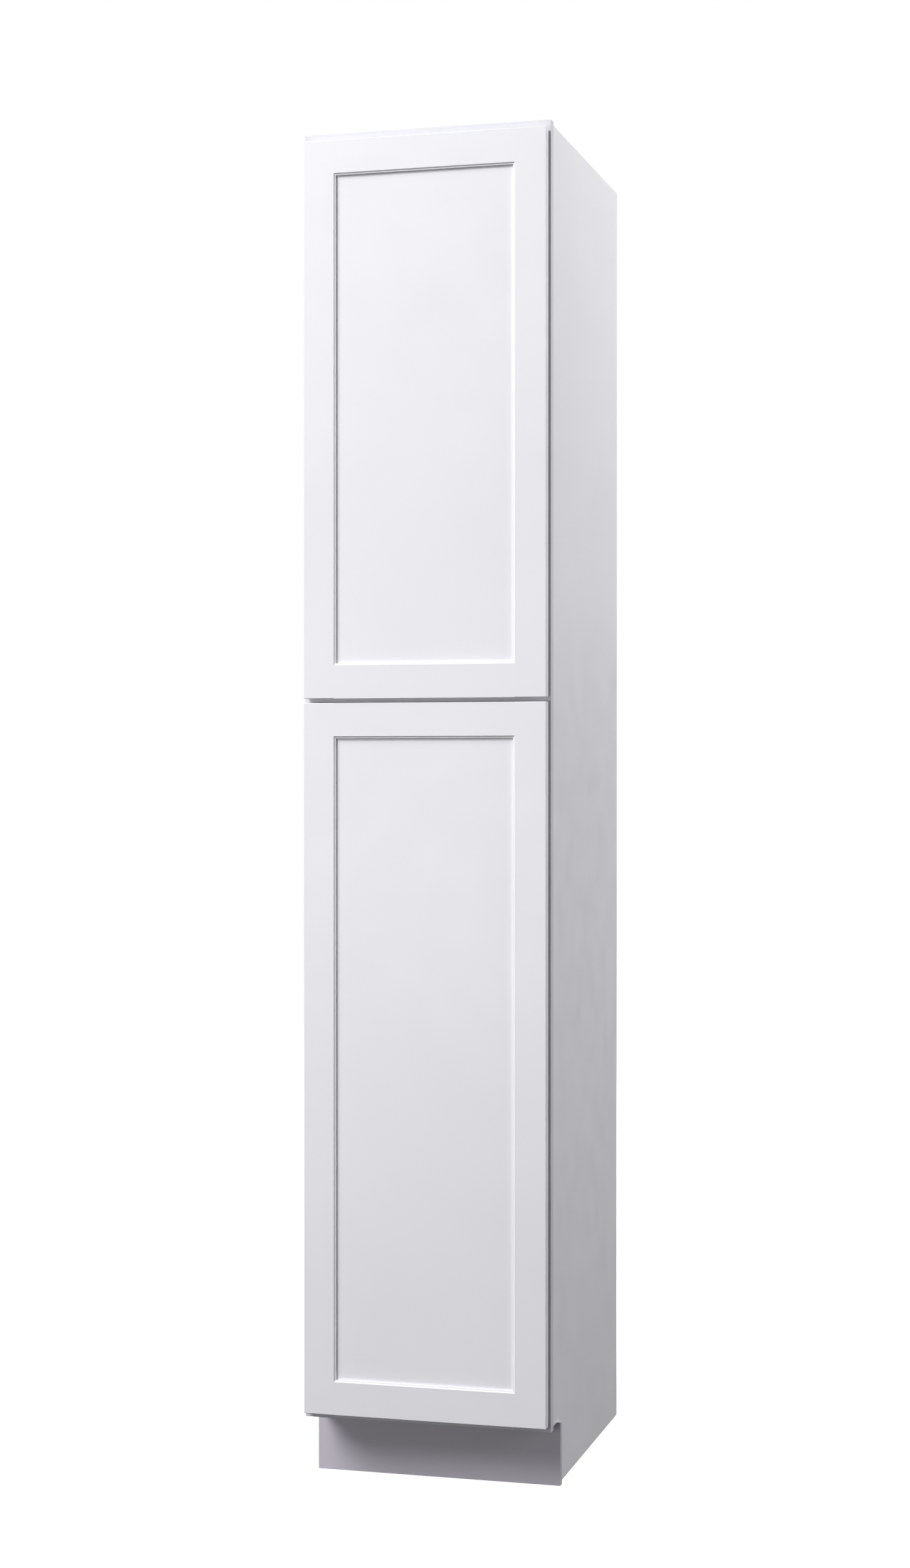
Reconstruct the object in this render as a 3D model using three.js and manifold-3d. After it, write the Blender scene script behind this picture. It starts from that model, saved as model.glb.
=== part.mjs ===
// A tall pantry cabinet: a plywood box behind a solid-wood face frame, with two five-piece
// Shaker doors hung on concealed two-pivot hinges. Millimetres, +Z up, front towards -Y.
import * as THREE from "three";
import { mergeVertices } from "three/addons/utils/BufferGeometryUtils.js";
import Module from "manifold-3d";

// ---------------------------------------------------------------- driving dimensions
// Cabinet
const WIDTH = 457.2; // over the face frame
const HEIGHT = 2438.4;
const BOX_DEPTH = 609.6; // front of the face frame to the back edges of the sides
const TOE_HEIGHT = 114.3;
const TOE_RECESS = 76.2; // behind the front of the face frame
const TOE_BOARD = 12;

// Face frame
const FRAME_THICKNESS = 19.05;
const FRAME_STILE = 38.1;
const FRAME_RAIL = 38.1;
const MIDDLE_RAIL_Z = 1413.4; // centre of the rail between the doors
const FRAME_OVERHANG = 6.35; // frame proud of each side panel

// Box panels
const SIDE = 12.7;
const DECK = 12.7; // top and bottom panels
const SHELF = 19.05;
const BACK = 6.35;
const DADO = 4; // depth of the housings in the side panels
const HANGING_RAIL = 76.2;
const HANGING_THICKNESS = 19.05;

// Adjustable shelves and their pins
const SHELVES_UPPER = 1;
const SHELVES_LOWER = 2;
const SHELF_END_GAP = 1.5;
const SHELF_FRONT_GAP = 12;
const SHELF_BACK_GAP = 3;
const PIN_RADIUS = 2.4;
const PIN_COLLAR_RADIUS = 4.1;
const PIN_SHAFT_OUT = 1; // the shaft's start, inside the collar and the tongue
const PIN_HOLE_DEPTH = 9;
const PIN_TONGUE = 9;
const PIN_INSET = 50; // pin rows in from the frame and from the back panel
const HOLE_PITCH = 32;
const HOLES_PER_ROW = 5;

// Doors
const DOOR_THICKNESS = 19.05;
const DOOR_GAP = 3; // back of a door to the front of the face frame
const REVEAL_SIDE = 4;
const REVEAL_TOP = 16;
const REVEAL_BOTTOM = 11;
const GAP_BETWEEN_DOORS = 8;
const DOOR_STILE = 60.3;
const DOOR_RAIL = 63.5;
const STICKING = 3.6; // width of the moulded inner edge: a bevel, a ledge and a square drop
const STICKING_BEVEL = 1.8; // width of the bevel
const STICKING_BEVEL_DEPTH = 2;
const STICKING_DEPTH = 2.3; // where the ledge ends and drops to the panel
const PANEL_RECESS = 6.35;
const PANEL = 6.35;
const GROOVE = 9.5;
const PANEL_PLAY = 2;
const TONGUE_PLAY = 1; // a rail's tongue to the bottom of the stile's groove
const BUMPER_RADIUS = 4.5;
const BUMPER_TIP_RADIUS = 3.4;
const BUMPER_SHOULDER = 1.5; // height where it starts to taper
const BUMPER_INSET = 22;

// Concealed hinges, measured from the door's hinge edge and the front of the face frame
const HINGES_UPPER = 2;
const HINGES_LOWER = 3;
const HINGE_END = 90; // hinge centre to the end of the door
const CUP_RADIUS = 17.3;
const CUP_CENTRE = 22.5;
const CUP_DEPTH = 12;
const CUP_WALL = 1.2;
const FLANGE = 1;
const FLANGE_WIDTH = 22;
const FLANGE_HEIGHT = 54;
const FRAME_PIVOT_PAST_EDGE = 8; // past the inner edge of the frame stile
const FRAME_PIVOT_BEHIND = 1.5; // behind the front of the face frame
const DOOR_PIVOT_IN = 14; // in from the door's edge
const DOOR_PIVOT_DEEP = 5; // below the back face of the door
const HINGE_PIN = 1.3;
const EYE = 3;
const LINK_THICKNESS = 2;
const LINK_BOW = 4.6; // how far the link bends into the cup
const LINK_HALF = 5;
// The link's bow: share of the way between the pivots, share of the full bow.
const LINK_LINE = [[0, 0], [0.12, 0.7], [0.38, 1], [0.72, 0.4], [1, 0]];
const BASE_PLATE = 2;
const BASE_HALF = 22;
const BASE_SETBACK = 0.6; // the plate, behind the front of the face frame
const BASE_SHORT = 1; // and in front of its back
const EAR = 7;
const EAR_ROOT = 8.6; // how far an ear runs back along the plate
const EAR_CORNER = 1.2;

// Clearances
const GLUE_LINE = 0.03;
const RUNNING = 0.3;
const CUT_PAST = 1; // how far a cutter runs past the face that it opens
const WELD = 1e-4; // corners closer than this are one
const ROUND = 16; // sides of a small round piece
const PIN_SIDES = 12;
const CUP_SIDES = 32;

// ---------------------------------------------------------------- derived planes
const half = WIDTH / 2;
const doorFront = -DOOR_GAP - DOOR_THICKNESS;
const frameInner = half - FRAME_STILE;
const sideOuter = half - FRAME_OVERHANG;
const sideInner = sideOuter - SIDE;
const backRear = BOX_DEPTH - HANGING_THICKNESS;
const backFront = backRear - BACK;
const deckTop = TOE_HEIGHT + FRAME_RAIL;
const middleTop = MIDDLE_RAIL_Z + FRAME_RAIL / 2;
const middleBottom = middleTop - SHELF;
const topUnder = HEIGHT - DECK;
const pinRows = [FRAME_THICKNESS + PIN_INSET, backFront - PIN_INSET];

// ---------------------------------------------------------------- materials
const finish = (color, roughness, metalness) => ({ color, roughness, metalness });
const WHITE_PAINT = finish(0xf1f2f4, 0.42, 0);
const PLYWOOD = finish(0xd9bd90, 0.5, 0);
const NICKEL = finish(0xc3c4c6, 0.3, 1);
const CLEAR_RUBBER = finish(0xdfe2e4, 0.5, 0);

// ---------------------------------------------------------------- geometry helpers
const wasm = await Module();
wasm.setup();

function solidOf(geometry) {
  const bare = geometry.clone();
  bare.deleteAttribute("normal");
  bare.deleteAttribute("uv");
  const merged = mergeVertices(bare, WELD);
  const mesh = new wasm.Mesh({
    numProp: 3,
    vertProperties: merged.attributes.position.array,
    triVerts: new Uint32Array(merged.index.array),
  });
  return new wasm.Manifold(mesh);
}

function geometryOf(solid) {
  const mesh = solid.getMesh();
  const geometry = new THREE.BufferGeometry();
  geometry.setAttribute("position", new THREE.BufferAttribute(mesh.vertProperties, 3));
  geometry.setIndex(new THREE.BufferAttribute(mesh.triVerts, 1));
  const flat = geometry.toNonIndexed();
  flat.computeVertexNormals();
  return flat;
}

function subtract(geometry, cutters) {
  let solid = solidOf(geometry);
  for (const cutter of cutters) {
    solid = solid.subtract(solidOf(cutter));
  }
  return geometryOf(solid);
}

function join(pieces) {
  let solid = solidOf(pieces[0]);
  for (const piece of pieces.slice(1)) {
    solid = solid.add(solidOf(piece));
  }
  return geometryOf(solid);
}

// A box between two planes on each axis.
function block(x, y, z) {
  const box = new THREE.BoxGeometry(1, 1, 1);
  const corners = box.attributes.position;
  const pick = (value, range) => (value < 0 ? range[0] : range[1]);
  for (let i = 0; i < corners.count; i++) {
    corners.setXYZ(
      i,
      pick(corners.getX(i), x),
      pick(corners.getY(i), y),
      pick(corners.getZ(i), z),
    );
  }
  return box;
}

function outline(points) {
  return new THREE.Shape(points.map(([u, v]) => new THREE.Vector2(u, v)));
}

// A shape in the XY plane carried from one height to another.
function upright(shape, from, to) {
  const settings = { depth: to - from, bevelEnabled: false };
  return new THREE.ExtrudeGeometry(shape, settings).translate(0, 0, from);
}

// A shape drawn as (-z, y) carried from one x to another.
function lengthwise(shape, from, to) {
  const settings = { depth: to - from, bevelEnabled: false };
  return new THREE.ExtrudeGeometry(shape, settings).rotateY(Math.PI / 2).translate(from, 0, 0);
}

// The two ends of a span, mirrored to one side of the cabinet and put in order.
function onSide(sign, from, to) {
  return [sign * from, sign * to].sort((a, b) => a - b);
}

// A round bar along X, Y or Z between two places on that axis.
function bar(axis, radius, from, to, a, b, sides = ROUND) {
  const round = new THREE.CylinderGeometry(radius, radius, to - from, sides);
  const middle = (from + to) / 2;
  if (axis === "x") {
    return round.rotateZ(Math.PI / 2).translate(middle, a, b);
  }
  if (axis === "y") {
    return round.translate(a, middle, b);
  }
  return round.rotateX(Math.PI / 2).translate(a, b, middle);
}

// ---------------------------------------------------------------- assembly
const cabinet = new THREE.Group();
cabinet.name = "pantry_cabinet";
cabinet.position.y = -(doorFront + BOX_DEPTH) / 2;

function add(name, geometry, look) {
  const mesh = new THREE.Mesh(geometry, new THREE.MeshStandardMaterial(look));
  mesh.name = name;
  cabinet.add(mesh);
}

// ---------------------------------------------------------------- face frame
function faceFrame() {
  const y = [0, FRAME_THICKNESS];
  const tall = [TOE_HEIGHT, HEIGHT];
  add("frame_stile_left", block([-half, -frameInner], y, tall), WHITE_PAINT);
  add("frame_stile_right", block([frameInner, half], y, tall), WHITE_PAINT);
  const across = [-frameInner, frameInner];
  const rails = {
    top: [HEIGHT - FRAME_RAIL, HEIGHT],
    middle: [middleTop - FRAME_RAIL, middleTop],
    bottom: [TOE_HEIGHT, deckTop],
  };
  for (const [place, z] of Object.entries(rails)) {
    add(`frame_rail_${place}`, block(across, y, z), WHITE_PAINT);
  }
}

// ---------------------------------------------------------------- box
const decks = {
  top_panel: [topUnder, HEIGHT],
  fixed_shelf: [middleBottom, middleTop],
  bottom_panel: [deckTop - DECK, deckTop],
};

// The heights of the undersides of the adjustable shelves in one bay.
function shelfHeights(bayBottom, bayTop, count) {
  const clear = (bayTop - bayBottom - count * SHELF) / (count + 1);
  const heights = [];
  for (let i = 1; i <= count; i++) {
    heights.push(bayBottom + i * clear + (i - 1) * SHELF);
  }
  return heights;
}

const shelves = {};
shelfHeights(middleTop, topUnder, SHELVES_UPPER).forEach((z, i) => {
  shelves[`upper_shelf_${i + 1}`] = z;
});
shelfHeights(deckTop, middleBottom, SHELVES_LOWER).forEach((z, i) => {
  shelves[`lower_shelf_${i + 1}`] = z;
});

function pinHoles(sign) {
  const holes = [];
  const x = onSide(sign, sideInner, sideInner + PIN_HOLE_DEPTH);
  const start = -Math.floor(HOLES_PER_ROW / 2);
  for (const z of Object.values(shelves)) {
    for (const y of pinRows) {
      for (let i = 0; i < HOLES_PER_ROW; i++) {
        const height = z - PIN_RADIUS + (start + i) * HOLE_PITCH;
        holes.push(bar("x", PIN_RADIUS + RUNNING, x[0], x[1], y, height, PIN_SIDES));
      }
    }
  }
  return holes;
}

function sidePanel(name, sign) {
  const x = onSide(sign, sideInner, sideOuter);
  const through = [x[0] - CUT_PAST, x[1] + CUT_PAST];
  const housed = onSide(sign, sideInner, sideInner + DADO + GLUE_LINE);
  const groove = [backFront - GLUE_LINE, backRear + GLUE_LINE];
  const cutters = [
    block(through, [0, TOE_RECESS + TOE_BOARD], [-CUT_PAST, TOE_HEIGHT]),
    block(housed, groove, [TOE_HEIGHT - GLUE_LINE, HEIGHT + CUT_PAST]),
  ];
  for (const z of Object.values(decks)) {
    const top = z[1] === HEIGHT ? HEIGHT + CUT_PAST : z[1] + GLUE_LINE;
    cutters.push(block(housed, [0, backFront], [z[0] - GLUE_LINE, top]));
  }
  const board = block(x, [FRAME_THICKNESS, BOX_DEPTH], [0, HEIGHT]);
  add(name, subtract(board, cutters.concat(pinHoles(sign))), PLYWOOD);
}

function box() {
  sidePanel("side_panel_left", -1);
  sidePanel("side_panel_right", 1);
  const housed = [-sideInner - DADO, sideInner + DADO];
  for (const [name, z] of Object.entries(decks)) {
    add(name, block(housed, [FRAME_THICKNESS, backFront - GLUE_LINE], z), PLYWOOD);
  }
  add("back_panel", block(housed, [backFront, backRear], [TOE_HEIGHT, HEIGHT]), PLYWOOD);
  const between = [-sideInner, sideInner];
  const rails = {
    top: HEIGHT - HANGING_RAIL,
    middle: MIDDLE_RAIL_Z - HANGING_RAIL / 2,
    bottom: TOE_HEIGHT,
  };
  for (const [place, z] of Object.entries(rails)) {
    const rail = block(between, [backRear + GLUE_LINE, BOX_DEPTH], [z, z + HANGING_RAIL]);
    add(`hanging_rail_${place}`, rail, PLYWOOD);
  }
  const toe = block([-half, half], [TOE_RECESS, TOE_RECESS + TOE_BOARD], [0, TOE_HEIGHT]);
  add("toe_kick_board", toe, WHITE_PAINT);
}

// ---------------------------------------------------------------- adjustable shelves
function shelfPin(name, sign, y, z) {
  const axisZ = z - GLUE_LINE - PIN_RADIUS;
  const shaft = onSide(sign, sideInner - PIN_SHAFT_OUT, sideInner + PIN_HOLE_DEPTH - RUNNING);
  const collar = onSide(sign, sideInner - SHELF_END_GAP + RUNNING, sideInner - GLUE_LINE);
  const tongue = onSide(sign, sideInner - PIN_TONGUE, sideInner - GLUE_LINE);
  const pieces = [
    bar("x", PIN_RADIUS, shaft[0], shaft[1], y, axisZ, PIN_SIDES),
    bar("x", PIN_COLLAR_RADIUS, collar[0], collar[1], y, axisZ, PIN_SIDES),
    block(tongue, [y - PIN_RADIUS, y + PIN_RADIUS], [axisZ, axisZ + PIN_RADIUS]),
  ];
  add(name, join(pieces), NICKEL);
}

function adjustableShelves() {
  const reach = sideInner - SHELF_END_GAP;
  const y = [FRAME_THICKNESS + SHELF_FRONT_GAP, backFront - SHELF_BACK_GAP];
  for (const [name, z] of Object.entries(shelves)) {
    add(name, block([-reach, reach], y, [z, z + SHELF]), PLYWOOD);
    for (const [side, sign] of [["left", -1], ["right", 1]]) {
      pinRows.forEach((row, i) => {
        shelfPin(`${name}_pin_${i ? "back" : "front"}_${side}`, sign, row, z);
      });
    }
  }
}

// ---------------------------------------------------------------- doors
// The section of a door's frame member: u runs in from the outer edge, v back from the face.
function memberSection(width) {
  const grooveFront = PANEL_RECESS - GLUE_LINE;
  const grooveBack = PANEL_RECESS + PANEL + GLUE_LINE;
  return [
    [0, 0],
    [width - STICKING, 0],
    [width - STICKING + STICKING_BEVEL, STICKING_BEVEL_DEPTH],
    [width, STICKING_DEPTH],
    [width, grooveFront],
    [width - GROOVE, grooveFront],
    [width - GROOVE, grooveBack],
    [width, grooveBack],
    [width, DOOR_THICKNESS],
    [0, DOOR_THICKNESS],
  ];
}

function stile(edge, inward, z, shift = [0, 0]) {
  const points = memberSection(DOOR_STILE).map(([u, v]) => [
    edge + inward * (u + shift[0]),
    doorFront + v + shift[1],
  ]);
  return upright(outline(points), z[0], z[1]);
}

// A rail's ends are coped over the stiles' moulded edges, with a tongue in their grooves.
function rail(edge, inward, x, z) {
  const points = memberSection(DOOR_RAIL).map(([u, v]) => [-(edge + inward * u), doorFront + v]);
  const inset = DOOR_STILE - GROOVE + TONGUE_PLAY;
  const blank = lengthwise(outline(points), x[0] + inset, x[1] - inset);
  const cutters = [];
  for (const shift of [[GLUE_LINE, GLUE_LINE], [GLUE_LINE, -GLUE_LINE]]) {
    cutters.push(stile(x[0], 1, [z[0] - CUT_PAST, z[1] + CUT_PAST], shift));
    cutters.push(stile(x[1], -1, [z[0] - CUT_PAST, z[1] + CUT_PAST], shift));
  }
  return subtract(blank, cutters);
}

function hingeHeights(z, count) {
  const heights = [];
  for (let i = 0; i < count; i++) {
    heights.push(THREE.MathUtils.lerp(z[0] + HINGE_END, z[1] - HINGE_END, i / (count - 1)));
  }
  return heights;
}

function door(name, z, hinges) {
  const x = [-half + REVEAL_SIDE, half - REVEAL_SIDE];
  const heights = hingeHeights(z, hinges);
  const bores = heights.map((height) =>
    bar("y", CUP_RADIUS + GLUE_LINE, -DOOR_GAP - CUP_DEPTH, 0, x[0] + CUP_CENTRE, height, CUP_SIDES),
  );
  add(`${name}_hinge_stile`, subtract(stile(x[0], 1, z), bores), WHITE_PAINT);
  add(`${name}_free_stile`, stile(x[1], -1, z), WHITE_PAINT);
  add(`${name}_rail_top`, rail(z[1], -1, x, z), WHITE_PAINT);
  add(`${name}_rail_bottom`, rail(z[0], 1, x, z), WHITE_PAINT);
  const inset = GROOVE - PANEL_PLAY;
  const panel = block(
    [x[0] + DOOR_STILE - inset, x[1] - DOOR_STILE + inset],
    [doorFront + PANEL_RECESS, doorFront + PANEL_RECESS + PANEL],
    [z[0] + DOOR_RAIL - inset, z[1] - DOOR_RAIL + inset],
  );
  add(`${name}_panel`, panel, WHITE_PAINT);
  for (const [place, height] of [["top", z[1] - BUMPER_INSET], ["bottom", z[0] + BUMPER_INSET]]) {
    bumper(`${name}_bumper_${place}`, x[1] - FRAME_STILE / 2, height);
  }
  heights.forEach((height, i) => hinge(`${name}_hinge_${i + 1}`, x[0], height));
}

function bumper(name, x, z) {
  const profile = [
    [0, 0],
    [BUMPER_RADIUS, 0],
    [BUMPER_RADIUS, BUMPER_SHOULDER],
    [BUMPER_TIP_RADIUS, DOOR_GAP - RUNNING],
    [0, DOOR_GAP - RUNNING],
  ].map(([radius, height]) => new THREE.Vector2(radius, height));
  add(name, new THREE.LatheGeometry(profile, ROUND).translate(x, -DOOR_GAP, z), CLEAR_RUBBER);
}

// ---------------------------------------------------------------- hinges
// The link between the two pivots: a cranked strip with an eye at each end.
function linkShape(from, to) {
  const span = to.clone().sub(from);
  const along = span.clone().normalize();
  const across = new THREE.Vector2(-along.y, along.x);
  const points = LINK_LINE.map(([share, bow]) => {
    const p = from.clone().addScaledVector(span, share).addScaledVector(across, -bow * LINK_BOW);
    return new THREE.Vector3(p.x, p.y, 0);
  });
  const centre = new THREE.CatmullRomCurve3(points);
  const left = [];
  const right = [];
  for (let i = 0; i <= ROUND; i++) {
    const p = centre.getPoint(i / ROUND);
    const t = centre.getTangent(i / ROUND);
    const n = new THREE.Vector2(-t.y, t.x).multiplyScalar(LINK_THICKNESS / 2);
    left.push([p.x + n.x, p.y + n.y]);
    right.unshift([p.x - n.x, p.y - n.y]);
  }
  return outline(left.concat(right));
}

function hingeLink(name, doorPivot, framePivot, z) {
  const range = [z - LINK_HALF, z + LINK_HALF];
  const ends = [doorPivot, framePivot];
  const strip = upright(linkShape(doorPivot, framePivot), range[0], range[1]);
  const eyes = ends.map((p) => bar("z", EYE, range[0], range[1], p.x, p.y));
  const through = [z - LINK_HALF - CUT_PAST, z + LINK_HALF + CUT_PAST];
  const bores = ends.map((p) => bar("z", HINGE_PIN + RUNNING, through[0], through[1], p.x, p.y));
  add(name, subtract(join([strip, ...eyes]), bores), NICKEL);
}

// The base: a plate on the inner edge of the frame stile, two ears and the pin across them.
function hingeBase(name, pivot, z) {
  const plateX = -frameInner;
  const ear = outline([
    [plateX, EAR_ROOT],
    [plateX, RUNNING],
    [plateX + EAR_CORNER, pivot.y - EYE],
    [pivot.x + EAR_CORNER, pivot.y - EYE],
    [pivot.x + EYE, pivot.y - EAR_CORNER],
    [pivot.x + EYE, pivot.y + EYE],
    [plateX + BASE_PLATE, EAR_ROOT],
  ]);
  const inner = LINK_HALF + RUNNING;
  const outer = inner + EAR;
  const plateY = [BASE_SETBACK, FRAME_THICKNESS - BASE_SHORT];
  const pieces = [
    block([plateX, plateX + BASE_PLATE], plateY, [z - BASE_HALF, z + BASE_HALF]),
    upright(ear, z + inner, z + outer),
    upright(ear, z - outer, z - inner),
    bar("z", HINGE_PIN, z - outer, z + outer, pivot.x, pivot.y),
  ];
  add(name, join(pieces), NICKEL);
}

// The cup: a flange on the back of the door, a round pot let into it and the pin across it.
function hingeCup(name, pivot, edge, z) {
  const centre = edge + CUP_CENTRE;
  const bottom = -DOOR_GAP - CUP_DEPTH + GLUE_LINE;
  const inside = CUP_RADIUS - CUP_WALL;
  const lip = -DOOR_GAP + FLANGE;
  const flangeX = [centre - FLANGE_WIDTH / 2, centre + FLANGE_WIDTH / 2];
  const flange = block(flangeX, [-DOOR_GAP, lip], [z - FLANGE_HEIGHT / 2, z + FLANGE_HEIGHT / 2]);
  const pot = bar("y", CUP_RADIUS, bottom, lip, centre, z, CUP_SIDES);
  const beside = (x) => block(x, [-DOOR_GAP, lip + CUT_PAST], [z - CUP_RADIUS, z + CUP_RADIUS]);
  const rims = [beside([edge, flangeX[0]]), beside([flangeX[1], centre + CUP_RADIUS + CUT_PAST])];
  const hollow = bar("y", inside, bottom + CUP_WALL, lip + CUT_PAST, centre, z, CUP_SIDES);
  const chord = Math.sqrt(inside ** 2 - (pivot.x - centre) ** 2) + CUP_WALL / 2;
  const shell = subtract(join([flange, pot]), [hollow, ...rims]);
  const pin = bar("z", HINGE_PIN, z - chord, z + chord, pivot.x, pivot.y);
  add(name, join([shell, pin]), NICKEL);
}

function hinge(name, edge, z) {
  const framePivot = new THREE.Vector2(-frameInner + FRAME_PIVOT_PAST_EDGE, FRAME_PIVOT_BEHIND);
  const doorPivot = new THREE.Vector2(edge + DOOR_PIVOT_IN, -DOOR_GAP - DOOR_PIVOT_DEEP);
  hingeBase(`${name}_base`, framePivot, z);
  hingeLink(`${name}_link`, doorPivot, framePivot, z);
  hingeCup(`${name}_cup`, doorPivot, edge, z);
}

// ---------------------------------------------------------------- the whole cabinet
faceFrame();
box();
adjustableShelves();
const split = [MIDDLE_RAIL_Z - GAP_BETWEEN_DOORS / 2, MIDDLE_RAIL_Z + GAP_BETWEEN_DOORS / 2];
door("upper_door", [split[1], HEIGHT - REVEAL_TOP], HINGES_UPPER);
door("lower_door", [TOE_HEIGHT + REVEAL_BOTTOM, split[0]], HINGES_LOWER);

export default cabinet;
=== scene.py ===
"""A tall white pantry cabinet with two Shaker doors: its looks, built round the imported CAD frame."""

import math

import bmesh
import bpy
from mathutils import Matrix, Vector

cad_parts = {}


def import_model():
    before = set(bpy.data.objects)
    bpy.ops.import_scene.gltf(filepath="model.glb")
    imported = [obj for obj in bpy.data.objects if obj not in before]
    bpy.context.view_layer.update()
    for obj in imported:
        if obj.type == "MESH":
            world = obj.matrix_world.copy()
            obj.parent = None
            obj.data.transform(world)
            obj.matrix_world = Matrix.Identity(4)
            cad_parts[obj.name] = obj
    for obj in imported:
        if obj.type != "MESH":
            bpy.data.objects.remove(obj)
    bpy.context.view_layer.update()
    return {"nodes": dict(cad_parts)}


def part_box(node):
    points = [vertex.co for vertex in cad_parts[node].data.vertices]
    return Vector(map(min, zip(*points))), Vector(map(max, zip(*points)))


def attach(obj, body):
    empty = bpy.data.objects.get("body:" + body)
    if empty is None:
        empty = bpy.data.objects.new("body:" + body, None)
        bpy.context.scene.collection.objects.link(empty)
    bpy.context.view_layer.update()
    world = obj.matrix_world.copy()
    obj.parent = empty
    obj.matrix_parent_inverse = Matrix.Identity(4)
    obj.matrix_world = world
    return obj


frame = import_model()
NODES = frame["nodes"]
MM = 0.001

# Camera: its place in metres, its turn and tilt in radians, and the lens for a 1462 x 2520 frame.
CAMERA_PLACE = (1.2593, -4.7507, 1.2863)
CAMERA_YAW = 0.2644
CAMERA_PITCH = -0.0049
CAMERA_LENS = 59.33
CAMERA_SENSOR = 36

# Paint and wood colours, linear.
PAINT = (0.83, 0.829, 0.868)
PAINT_SHADE = (0.805, 0.804, 0.844)
FULL_TONE = (1.0, 1.0, 1.0)
FRAME_PAINTED_SHADE = (0.82, 0.82, 0.83)  # painted shade: the face frame and the toe board look darker than the doors, so the same white paint is darkened for them
# Painted shade on the toe board: the same white paint, darker and with a slight purple tint, as it
# looks in the shadow under the doors.
TOE_PAINTED_SHADE = (0.74, 0.70, 0.76)
MAPLE_LIGHT = (0.79, 0.66, 0.49)
MAPLE_DARK = (0.71, 0.56, 0.39)
CORE_LIGHT = (0.62, 0.45, 0.27)
CORE_DARK = (0.34, 0.20, 0.10)
PINE_LIGHT = (0.70, 0.52, 0.31)
PINE_DARK = (0.53, 0.34, 0.16)
NICKEL = (0.62, 0.61, 0.59)
RUBBER = (0.78, 0.80, 0.80)

PLY_LAYER = 1.4 * MM

# Rounded edges: widths, and how near in place two corners must be to count as one or as on a plane.
DOOR_EDGE = 1.2 * MM
FRAME_EDGE = 0.8 * MM
RAIL_EDGE = 0.5 * MM
BOARD_EDGE = 0.4 * MM
SIDE_EDGE = 0.3 * MM
METAL_EDGE = 0.25 * MM
EDGE_ANGLE = 35
SHARP_TURN = 0.8  # two faces turn sharply when the dot product of their normals is below this
WELD_REACH = 0.005 * MM
SAME_CORNER = 0.01 * MM
ON_PLANE = 0.02 * MM
ON_FACE = 0.1 * MM

# Screw heads on the hinges. A profile point is a share of the radius and a share of the height.
HEAD_SIDES = 24
HEAD_PROFILE = [(1.0, 0.0), (1.0, 0.3), (0.88, 0.75), (0.64, 1.0), (0.56, 1.0), (0.2, 1.0), (0.12, 1.0)]
CROSS_REACH = 0.6
CROSS_CORE = 0.15
CROSS_DEPTH = 0.85
SCREW_RADIUS = 3.3 * MM
SCREW_RISE = 1.2 * MM
BASE_PLATE = 2 * MM
BASE_SCREW_Y = 10.8 * MM  # from the front of a hinge base
BASE_SCREW_Z = 17.2 * MM  # above and below its middle
CUP_SCREW_Z = 22.4 * MM

# Soft boxes: name, place, what it points at, width, height and power in watts.
LAMPS = [
    ("key", (-4.4, -4.9, 7.0), (0.0, 0.0, 1.2), 5.2, 5.2, 975),
    ("low_front", (-2.0, -6.0, 0.9), (0.0, 0.0, 0.9), 2.5, 1.4, 72),
    ("right_fill", (5.0, -0.5, 2.8), (0.2, 0.1, 1.4), 2.5, 2.5, 110),
    ("right_back", (3.2, 2.0, 4.2), (0.2, 0.1, 1.8), 2.0, 2.0, 112),
    ("left_fill", (-4.0, 1.8, 3.0), (-0.2, 0.1, 1.4), 2.5, 2.5, 22),
    ("back_fill", (-0.8, 5.5, 3.0), (0.0, 0.3, 1.3), 3.0, 2.5, 130),
]
SKY_HIGH = 0.14
SKY_LOW = 0.03
SKY_SPAN = (-0.4, 0.8)  # from looking down to looking up, where the sky goes from low to high
FLOOR_RADIUS = 14.0
FLOOR_DROP = 0.5 * MM
FLOOR_GLOW = (0.74, 1.0)  # near the cabinet and far from it
FLOOR_NEAR = 0.45
FLOOR_FAR = 1.9


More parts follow.
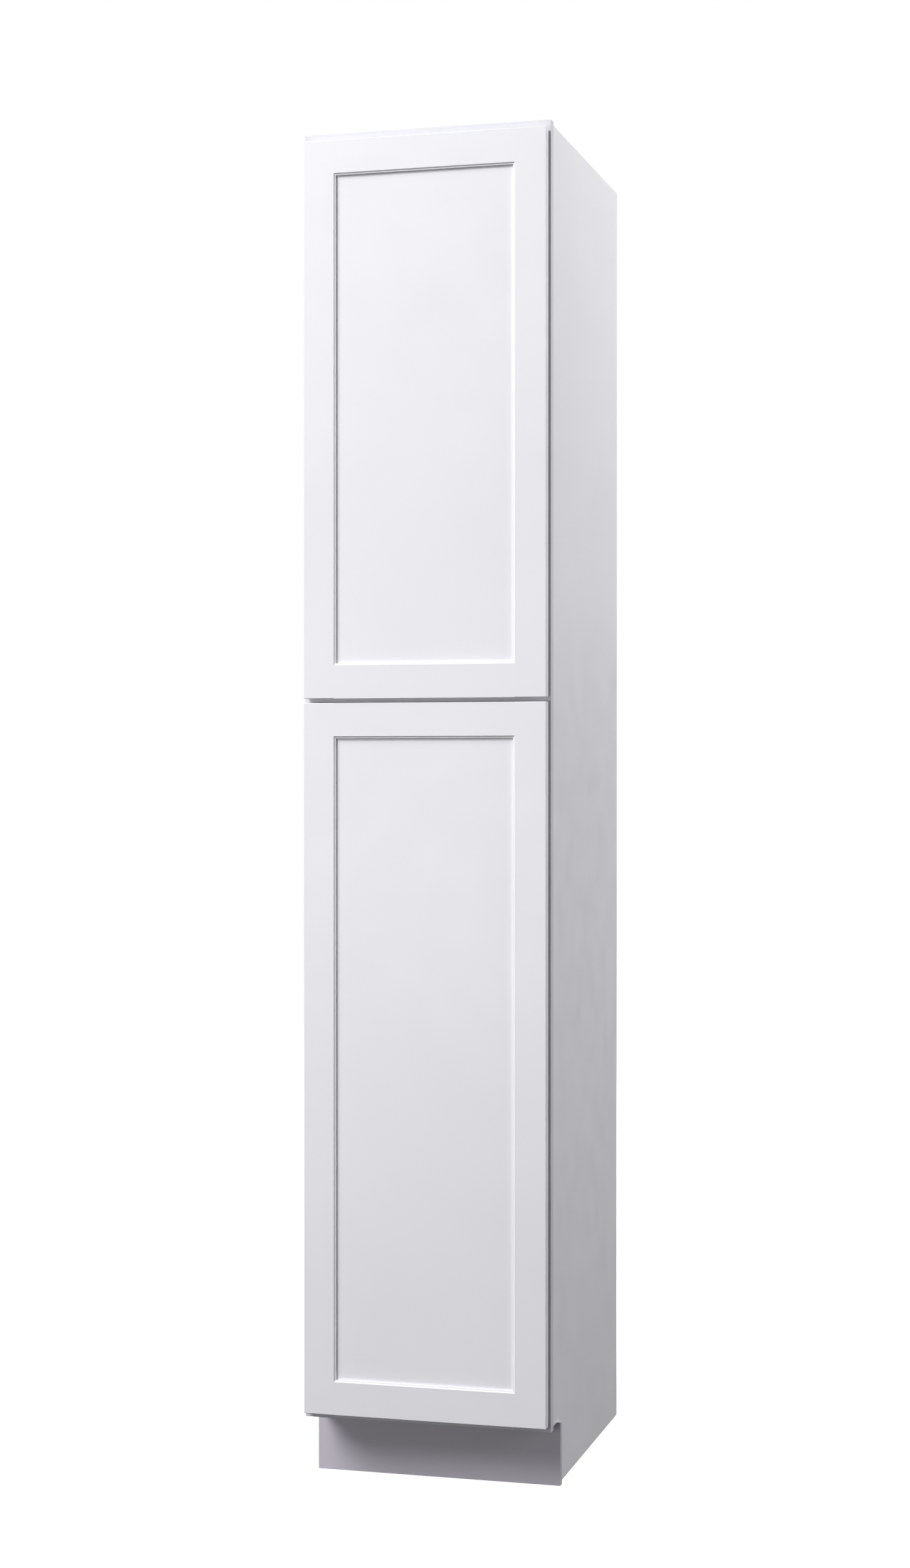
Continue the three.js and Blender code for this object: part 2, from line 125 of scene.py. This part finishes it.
# ---------------------------------------------------------------- node helpers
class Shader:
    """A material's node tree, with short calls to add and join nodes."""

    def __init__(self, name):
        self.material = bpy.data.materials.new(name)
        self.material.use_nodes = True
        self.tree = self.material.node_tree
        self.surface = self.tree.nodes["Principled BSDF"]
        self.place = self.add("ShaderNodeTexCoord").outputs["Object"]

    def add(self, kind, **settings):
        node = self.tree.nodes.new(kind)
        for key, value in settings.items():
            setattr(node, key, value)
        return node

    def join(self, source, target):
        self.tree.links.new(source, target)

    def stretched(self, scale):
        """The object's own coordinates, in metres, scaled along each axis."""
        mapping = self.add("ShaderNodeMapping")
        mapping.inputs["Scale"].default_value = scale
        self.join(self.place, mapping.inputs["Vector"])
        return mapping.outputs["Vector"]

    def noise(self, scale, detail=2.0, stretch=None, distortion=0.0):
        texture = self.add("ShaderNodeTexNoise")
        texture.inputs["Scale"].default_value = scale
        texture.inputs["Detail"].default_value = detail
        texture.inputs["Distortion"].default_value = distortion
        vector = self.stretched(stretch) if stretch else self.place
        self.join(vector, texture.inputs["Vector"])
        return texture.outputs["Fac"]

    def ramp(self, value, stops):
        node = self.add("ShaderNodeValToRGB")
        elements = node.color_ramp.elements
        while len(elements) < len(stops):
            elements.new(0.5)
        for element, (at, color) in zip(elements, stops):
            element.position = at
            element.color = (*color, 1.0)
        self.join(value, node.inputs["Fac"])
        return node.outputs["Color"]

    def remap(self, value, low, high):
        """Spreads a noise value, which keeps near the middle, over low to high."""
        node = self.add("ShaderNodeMapRange")
        node.inputs["From Min"].default_value = 0.3
        node.inputs["From Max"].default_value = 0.7
        node.inputs["To Min"].default_value = low
        node.inputs["To Max"].default_value = high
        self.join(value, node.inputs["Value"])
        return node.outputs["Result"]

    def mix(self, factor, first, second, blend="MIX"):
        node = self.add("ShaderNodeMix", data_type="RGBA", blend_type=blend)
        for socket, value in ((0, factor), (6, first), (7, second)):
            if isinstance(value, (int, float)):
                node.inputs[socket].default_value = value
            elif isinstance(value, tuple):
                node.inputs[socket].default_value = (*value, 1.0)
            else:
                self.join(value, node.inputs[socket])
        return node.outputs[2]

    def bump(self, height, depth, under=None):
        node = self.add("ShaderNodeBump")
        node.inputs["Strength"].default_value = 1.0
        node.inputs["Distance"].default_value = depth
        self.join(height, node.inputs["Height"])
        if under:
            self.join(under, node.inputs["Normal"])
        return node.outputs["Normal"]

    def finish(self, color=None, roughness=None, normal=None, **constants):
        if color is not None:
            self.join(color, self.surface.inputs["Base Color"])
        if roughness is not None:
            self.join(roughness, self.surface.inputs["Roughness"])
        if normal is not None:
            self.join(normal, self.surface.inputs["Normal"])
        for key, value in constants.items():
            self.surface.inputs[key.replace("_", " ")].default_value = value
        return self.material


# ---------------------------------------------------------------- materials
def satin_paint(name, tone=FULL_TONE):
    """Sprayed white lacquer: orange peel, a faint mottle and small changes of gloss."""
    shader = Shader(name)
    mottle = shader.noise(3.5, 3)
    # The tone darkens a copy of the paint; the face frame and toe board copies are painted shade.
    dark, light = (tuple(t * c for t, c in zip(tone, paint)) for paint in (PAINT_SHADE, PAINT))
    color = shader.ramp(mottle, [(0.3, dark), (0.7, light)])
    roughness = shader.remap(shader.noise(14, 4), 0.36, 0.46)
    waves = shader.bump(shader.noise(420, 2), 0.02 * MM)
    normal = shader.bump(shader.noise(1600, 1), 0.006 * MM, under=waves)
    return shader.finish(
        color, roughness, normal, Specular_IOR_Level=0.42, Coat_Weight=0.12, Coat_Roughness=0.22
    )


def veneer(name, grain, light, dark, gloss=0.36):
    """Clear-lacquered veneer with its grain along one axis."""
    shader = Shader(name)
    squeeze = [1.0, 1.0, 1.0]
    squeeze[grain] = 0.06
    fine = [1.0, 1.0, 1.0]
    fine[grain] = 0.02
    figure = shader.noise(26, 5, squeeze, 1.2)
    pores = shader.noise(900, 2, fine)
    broad = shader.noise(4, 2, squeeze)
    color = shader.ramp(figure, [(0.3, dark), (0.5, light), (0.72, light)])
    tone = shader.ramp(broad, [(0.3, (0.9, 0.88, 0.85)), (0.7, (1.0, 1.0, 1.0))])
    flecks = shader.ramp(pores, [(0.36, (0.82, 0.78, 0.72)), (0.5, (1.0, 1.0, 1.0))])
    color = shader.mix(1.0, shader.mix(1.0, color, tone, "MULTIPLY"), flecks, "MULTIPLY")
    roughness = shader.remap(figure, gloss - 0.05, gloss + 0.07)
    normal = shader.bump(pores, 0.02 * MM)
    return shader.finish(color, roughness, normal, Specular_IOR_Level=0.45)


def ply_edge(name, axis, low):
    """The sawn edge of plywood: layers across one axis, counted from the panel's lower face."""
    shader = Shader(name)
    split = shader.add("ShaderNodeSeparateXYZ")
    shader.join(shader.place, split.inputs[0])
    layer = shader.add("ShaderNodeMath", operation="SUBTRACT")
    shader.join(split.outputs[axis], layer.inputs[0])
    layer.inputs[1].default_value = low
    turn = shader.add("ShaderNodeMath", operation="PINGPONG")
    shader.join(layer.outputs[0], turn.inputs[0])
    turn.inputs[1].default_value = PLY_LAYER
    share = shader.add("ShaderNodeMath", operation="DIVIDE")
    shader.join(turn.outputs[0], share.inputs[0])
    share.inputs[1].default_value = PLY_LAYER
    layers = shader.ramp(share.outputs[0], [(0.42, CORE_LIGHT), (0.58, CORE_DARK)])
    speck = shader.noise(700, 3)
    grain = shader.ramp(speck, [(0.35, (0.72, 0.68, 0.62)), (0.6, (1.0, 1.0, 1.0))])
    color = shader.mix(1.0, layers, grain, "MULTIPLY")
    roughness = shader.remap(speck, 0.6, 0.8)
    return shader.finish(color, roughness, shader.bump(speck, 0.08 * MM), Specular_IOR_Level=0.3)


def nickel_plate(name):
    """Pressed steel with a nickel plating: fine drawing lines and a soft gloss."""
    shader = Shader(name)
    lines = shader.noise(1500, 2, (1.0, 1.0, 0.08))
    cloud = shader.noise(160, 3)
    color = shader.ramp(cloud, [(0.3, tuple(0.88 * c for c in NICKEL)), (0.7, NICKEL)])
    roughness = shader.remap(lines, 0.24, 0.36)
    return shader.finish(color, roughness, shader.bump(lines, 0.004 * MM), Metallic=1.0)


def clear_rubber(name):
    """A soft, nearly clear bumper pad."""
    shader = Shader(name)
    cloud = shader.noise(300, 3)
    color = shader.ramp(cloud, [(0.3, tuple(0.93 * c for c in RUBBER)), (0.7, RUBBER)])
    normal = shader.bump(cloud, 0.02 * MM)
    return shader.finish(color, shader.remap(cloud, 0.38, 0.5), normal, Subsurface_Weight=0.3)


WHITE = satin_paint("white_lacquer")
# Darker copies of the same white paint: painted shade on the face frame and on the toe board.
WHITE_FRAME_SHADED = satin_paint("white_lacquer_frame_painted_shade", FRAME_PAINTED_SHADE)
WHITE_TOE_SHADED = satin_paint("white_lacquer_toe_painted_shade", TOE_PAINTED_SHADE)
MAPLE_UP = veneer("maple_veneer_upright", 2, MAPLE_LIGHT, MAPLE_DARK)
MAPLE_DEEP = veneer("maple_veneer_deep", 1, MAPLE_LIGHT, MAPLE_DARK)
MAPLE_BAND = veneer("maple_edge_band", 0, MAPLE_LIGHT, MAPLE_DARK)
PINE = veneer("pine_rail", 0, PINE_LIGHT, PINE_DARK, 0.55)
METAL = nickel_plate("nickel_plate")
BUMPER = clear_rubber("clear_rubber")


# ---------------------------------------------------------------- CAD nodes
def ease(piece, width, segments=3):
    """Welds the flat-shaded faces together and rounds the sharp edges a little."""
    weld = piece.modifiers.new("weld", "WELD")
    weld.merge_threshold = WELD_REACH
    bevel = piece.modifiers.new("ease", "BEVEL")
    bevel.width = width
    bevel.segments = segments
    bevel.limit_method = "ANGLE"
    bevel.angle_limit = math.radians(EDGE_ANGLE)
    bevel.harden_normals = True
    bevel.use_clamp_overlap = True


def sharp_edges(mesh):
    """Each sharp edge's two ends, found by place because the faces don't share corners."""
    def key(point):
        return tuple(round(c / SAME_CORNER) for c in point)

    normals = {}
    for face in mesh.polygons:
        corners = [mesh.vertices[i].co for i in face.vertices]
        for a, b in zip(corners, corners[1:] + corners[:1]):
            normals.setdefault(frozenset((key(a), key(b))), []).append(face.normal.copy())
    for edge in mesh.edges:
        a, b = (mesh.vertices[i].co for i in edge.vertices)
        found = normals[frozenset((key(a), key(b)))]
        if len(found) > 1 and found[0].dot(found[-1]) < SHARP_TURN:
            yield edge.index, a, b


def ease_outline(piece, low, high, width, segments=4):
    """Rounds only the edges on the outline of a glued-up and painted whole, so joints stay flush."""
    mesh = piece.data
    weights = mesh.attributes.new("bevel_weight_edge", "FLOAT", "EDGE")
    for index, a, b in sharp_edges(mesh):
        sides = sum(
            abs(a[axis] - plane[axis]) < ON_PLANE and abs(b[axis] - plane[axis]) < ON_PLANE
            for axis in (0, 1, 2)
            for plane in (low, high)
        )
        weights.data[index].value = 1.0 if sides > 1 else 0.0
    ease(piece, width, segments)
    piece.modifiers["ease"].limit_method = "WEIGHT"


def whole_box(names):
    """The box round several nodes."""
    boxes = [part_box(name) for name in names]
    low = Vector(min(box[0][axis] for box in boxes) for axis in range(3))
    high = Vector(max(box[1][axis] for box in boxes) for axis in range(3))
    return low, high


def dress(piece, choose):
    """Gives each face of a piece the material that choose(normal, centre) returns."""
    mesh = piece.data
    mesh.materials.clear()
    slots = {}
    for face in mesh.polygons:
        material = choose(face.normal, face.center)
        if material.name not in slots:
            slots[material.name] = len(slots)
            mesh.materials.append(material)
        face.material_index = slots[material.name]


def coat(name, material, width, segments=2):
    """Gives a whole node one material and rounds its edges."""
    dress(NODES[name], lambda normal, centre: material)
    ease(NODES[name], width, segments)


def dress_painted(prefix, width, paint=WHITE):
    """Stiles and rails that are glued up and sprayed as one."""
    members = [n for n in NODES if n.startswith(prefix) and ("_stile" in n or "_rail" in n)]
    low, high = whole_box(members)
    for name in members:
        dress(NODES[name], lambda normal, centre: paint)
        ease_outline(NODES[name], low, high, width)


def dress_side_panel(name, outward):
    """A side panel: paint outside, veneer inside, plywood layers on its edges."""
    piece = NODES[name]
    low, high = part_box(name)
    outer = high.x if outward > 0 else low.x
    edge = ply_edge(name + "_edge", 0, low.x)

    def choose(normal, centre):
        if abs(centre.x - outer) < ON_FACE:
            return WHITE
        return MAPLE_UP if abs(normal.x) > 0.5 else edge

    dress(piece, choose)
    ease(piece, SIDE_EDGE, 2)


def dress_panel(name, axis, face, front=None):
    """A plywood panel: veneer on its two faces, layers on its edges, a band on its front."""
    low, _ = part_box(name)
    edge = ply_edge(name + "_edge", axis, low[axis])

    def choose(normal, centre):
        if abs(normal[axis]) > 0.5:
            return face
        return front if front and normal.y < -0.5 else edge

    dress(NODES[name], choose)
    ease(NODES[name], BOARD_EDGE, 2)


def dress_all():
    """Every CAD node's material and edges, chosen by its name."""
    dress_side_panel("side_panel_left", -1)
    dress_side_panel("side_panel_right", 1)
    for name in ("top_panel", "bottom_panel", "fixed_shelf"):
        dress_panel(name, 2, MAPLE_DEEP)
    dress_panel("back_panel", 1, MAPLE_UP)
    for name in NODES:
        if "shelf_" in name and name[-1].isdigit():
            dress_panel(name, 2, MAPLE_DEEP, MAPLE_BAND)
        elif name.startswith("hanging_rail"):
            coat(name, PINE, RAIL_EDGE)
        elif name.endswith(("_base", "_cup", "_link")) or "_pin_" in name:
            coat(name, METAL, METAL_EDGE)
        elif "bumper" in name:
            coat(name, BUMPER, SIDE_EDGE)
        # The toe board's paint carries painted shade.
        elif name == "toe_kick_board":
            coat(name, WHITE_TOE_SHADED, BOARD_EDGE, 3)
        elif name.endswith("_door_panel"):
            coat(name, WHITE, BOARD_EDGE, 3)
    # The face frame's paint carries painted shade.
    dress_painted("frame_", FRAME_EDGE, WHITE_FRAME_SHADED)
    dress_painted("upper_door_", DOOR_EDGE)
    dress_painted("lower_door_", DOOR_EDGE)


dress_all()


# ---------------------------------------------------------------- hinge screws
def head_ring(share, rise):
    """One ring of a screw head's corners; those in the cross recess are sunk."""
    ring = []
    for i in range(HEAD_SIDES):
        turn = 2 * math.pi * i / HEAD_SIDES
        in_cross = share < CROSS_CORE or (share < CROSS_REACH and i % (HEAD_SIDES // 4) < 2)
        level = rise - CROSS_DEPTH if in_cross else rise
        reach = share * SCREW_RADIUS
        ring.append((reach * math.cos(turn), reach * math.sin(turn), level * SCREW_RISE))
    return ring


def screw_head(name, place, outward, body):
    """A screw's domed head with a cross recess, standing on a plate and facing outward."""
    made = bmesh.new()
    corners = [[made.verts.new(point) for point in head_ring(*at)] for at in HEAD_PROFILE]
    for lower, upper in zip(corners, corners[1:]):
        for i in range(HEAD_SIDES):
            j = (i + 1) % HEAD_SIDES
            made.faces.new((lower[i], lower[j], upper[j], upper[i]))
    made.faces.new(list(reversed(corners[0])))
    made.faces.new(corners[-1])
    bmesh.ops.recalc_face_normals(made, faces=made.faces)
    mesh = bpy.data.meshes.new(name)
    made.to_mesh(mesh)
    made.free()
    piece = bpy.data.objects.new(name, mesh)
    bpy.context.scene.collection.objects.link(piece)
    piece.rotation_euler = Vector(outward).to_track_quat("Z", "Y").to_euler()
    piece.location = place
    mesh.materials.append(METAL)
    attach(piece, body)


def hinge_screws():
    """Two screws through every hinge base and every cup."""
    for name in NODES:
        low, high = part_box(name)
        middle = (low + high) / 2
        door = name[: name.index("_hinge")] if "_hinge" in name else ""
        for side, label in ((-1, "lower"), (1, "upper")):
            if name.endswith("_base"):
                place = (low.x + BASE_PLATE, BASE_SCREW_Y + low.y, middle.z + side * BASE_SCREW_Z)
                screw_head(f"{name}_screw_{label}", place, (1, 0, 0), "carcass")
            elif name.endswith("_cup"):
                place = (middle.x, high.y, middle.z + side * CUP_SCREW_Z)
                screw_head(f"{name}_screw_{label}", place, (0, 1, 0), door)


hinge_screws()


# ---------------------------------------------------------------- camera, lights, floor
def aim(thing, place, target):
    """Puts a lamp at a place and turns it to a target."""
    thing.location = place
    direction = Vector(target) - Vector(place)
    thing.rotation_euler = direction.to_track_quat("-Z", "Y").to_euler()


def softbox(name, place, target, width, height, power):
    data = bpy.data.lights.new(name, "AREA")
    data.shape = "RECTANGLE"
    data.size = width
    data.size_y = height
    data.energy = power
    lamp = bpy.data.objects.new(name, data)
    bpy.context.scene.collection.objects.link(lamp)
    aim(lamp, place, target)


def studio():
    """The camera and the soft boxes."""
    scene = bpy.context.scene
    data = bpy.data.cameras.new("camera")
    data.lens = CAMERA_LENS
    data.sensor_width = CAMERA_SENSOR
    camera = bpy.data.objects.new("camera", data)
    scene.collection.objects.link(camera)
    camera.location = CAMERA_PLACE
    camera.rotation_euler = (math.pi / 2 + CAMERA_PITCH, 0, CAMERA_YAW)
    scene.camera = camera
    scene.view_settings.view_transform = "Standard"
    for lamp in LAMPS:
        softbox(*lamp)


def world():
    """A white surround for the camera, and a soft light that comes mostly from above."""
    made = bpy.data.worlds.new("studio")
    bpy.context.scene.world = made
    made.use_nodes = True
    tree = made.node_tree
    background = tree.nodes["Background"]
    place = tree.nodes.new("ShaderNodeTexCoord")
    split = tree.nodes.new("ShaderNodeSeparateXYZ")
    ramp = tree.nodes.new("ShaderNodeMapRange")
    seen = tree.nodes.new("ShaderNodeLightPath")
    white = tree.nodes.new("ShaderNodeMix")
    ramp.inputs["From Min"].default_value, ramp.inputs["From Max"].default_value = SKY_SPAN
    ramp.inputs["To Min"].default_value = SKY_LOW
    ramp.inputs["To Max"].default_value = SKY_HIGH
    white.inputs[3].default_value = 1.0
    tree.links.new(place.outputs["Generated"], split.inputs[0])
    tree.links.new(split.outputs[2], ramp.inputs["Value"])
    tree.links.new(seen.outputs["Is Camera Ray"], white.inputs[0])
    tree.links.new(ramp.outputs[0], white.inputs[2])
    tree.links.new(white.outputs[0], background.inputs["Strength"])
    background.inputs["Color"].default_value = (1.0, 1.0, 1.0, 1.0)


def floor():
    """A plain pale floor that takes a faint shadow and turns to plain white further off."""
    made = bmesh.new()
    bmesh.ops.create_circle(made, cap_ends=True, segments=64, radius=FLOOR_RADIUS)
    mesh = bpy.data.meshes.new("floor")
    made.to_mesh(mesh)
    made.free()
    ground = bpy.data.objects.new("floor", mesh)
    bpy.context.scene.collection.objects.link(ground)
    shader = Shader("pale_floor")
    cloud = shader.noise(1.2, 3)
    color = shader.ramp(cloud, [(0.3, (0.86, 0.86, 0.87)), (0.7, (0.9, 0.9, 0.9))])
    shader.finish(color, shader.remap(cloud, 0.75, 0.85))
    shader.surface.inputs["Emission Color"].default_value = (1.0, 1.0, 1.0, 1.0)
    reach = shader.add("ShaderNodeVectorMath", operation="LENGTH")
    shader.join(shader.place, reach.inputs[0])
    glow = shader.add("ShaderNodeMapRange", interpolation_type="SMOOTHSTEP")
    shader.join(reach.outputs["Value"], glow.inputs["Value"])
    glow.inputs["From Min"].default_value = FLOOR_NEAR
    glow.inputs["From Max"].default_value = FLOOR_FAR
    glow.inputs["To Min"].default_value, glow.inputs["To Max"].default_value = FLOOR_GLOW
    shader.join(glow.outputs["Result"], shader.surface.inputs["Emission Strength"])
    mesh.materials.append(shader.material)
    ground.location.z = -FLOOR_DROP
    ground.visible_diffuse = False
    ground.visible_glossy = False


studio()
world()
floor()
